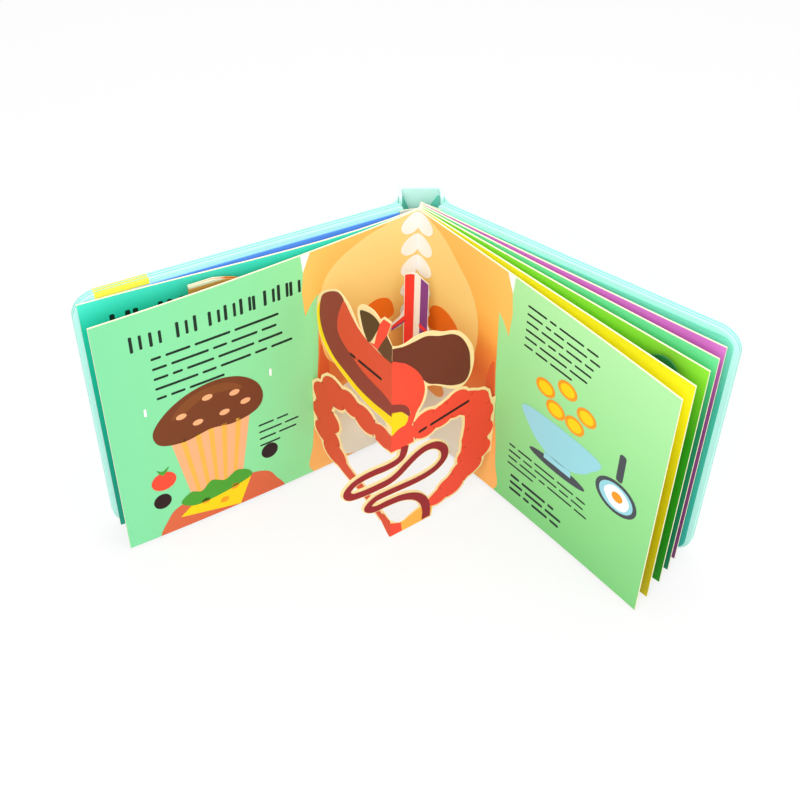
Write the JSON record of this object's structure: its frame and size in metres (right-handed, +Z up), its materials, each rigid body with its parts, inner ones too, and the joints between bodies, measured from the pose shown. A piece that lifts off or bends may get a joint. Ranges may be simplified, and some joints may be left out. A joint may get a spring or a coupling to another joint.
{
  "type": "pop up book",
  "caption": "Upright opened pop up book with padded covers, fanned card leaves and a folded die-cut card of the digestive organs standing across the gutter.",
  "frame": {"origin": "centre of the bounding box in plan, on the ground under the standing book", "axes": "+X from the front cover to the back cover, +Y from the open spread towards the spine, +Z up along the spine"},
  "size_m": [0.417, 0.2068, 0.22],
  "materials": {
    "cover_skin": "satin padded plastic skin printed mint with a yellow field",
    "page_board": "printed coated card, one colour on each spread",
    "pastedown_left": "printed coated paper",
    "pastedown_right": "printed coated paper",
    "organ_card": "printed coated card, die-cut",
    "vessel_card": "printed coated card, die-cut",
    "folded_orange": "printed coated card",
    "folded_card": "printed coated card",
    "folded_dark_green": "printed coated card"
  },
  "bodies": {
    "book_block": {"spine": "cover_skin", "pages": "page_board", "organs_popup": "organ_card", "vessels_popup": "vessel_card", "folded_popup_2": "folded_orange", "folded_popup_4": "folded_card", "folded_popup_5": "folded_dark_green", "folded_popup_6": "folded_card", "folded_popup_7": "folded_card"},
    "front_board": {"front_cover": "cover_skin", "front_pastedown": "pastedown_left"},
    "back_board": {"back_cover": "cover_skin", "back_pastedown": "pastedown_right"}
  },
  "joints": [
    {"name": "front_hinge", "type": "hinge", "parent": "book_block", "child": "front_board", "pos_m": [-0.00004, 0.09024, 0.11], "axis": [0, 0, -1], "range_deg": [0, 22.8]},
    {"name": "back_hinge", "type": "hinge", "parent": "book_block", "child": "back_board", "pos_m": [0.03036, 0.09024, 0.11], "axis": [0, 0, 1], "range_deg": [0, 37.6]}
  ]
}
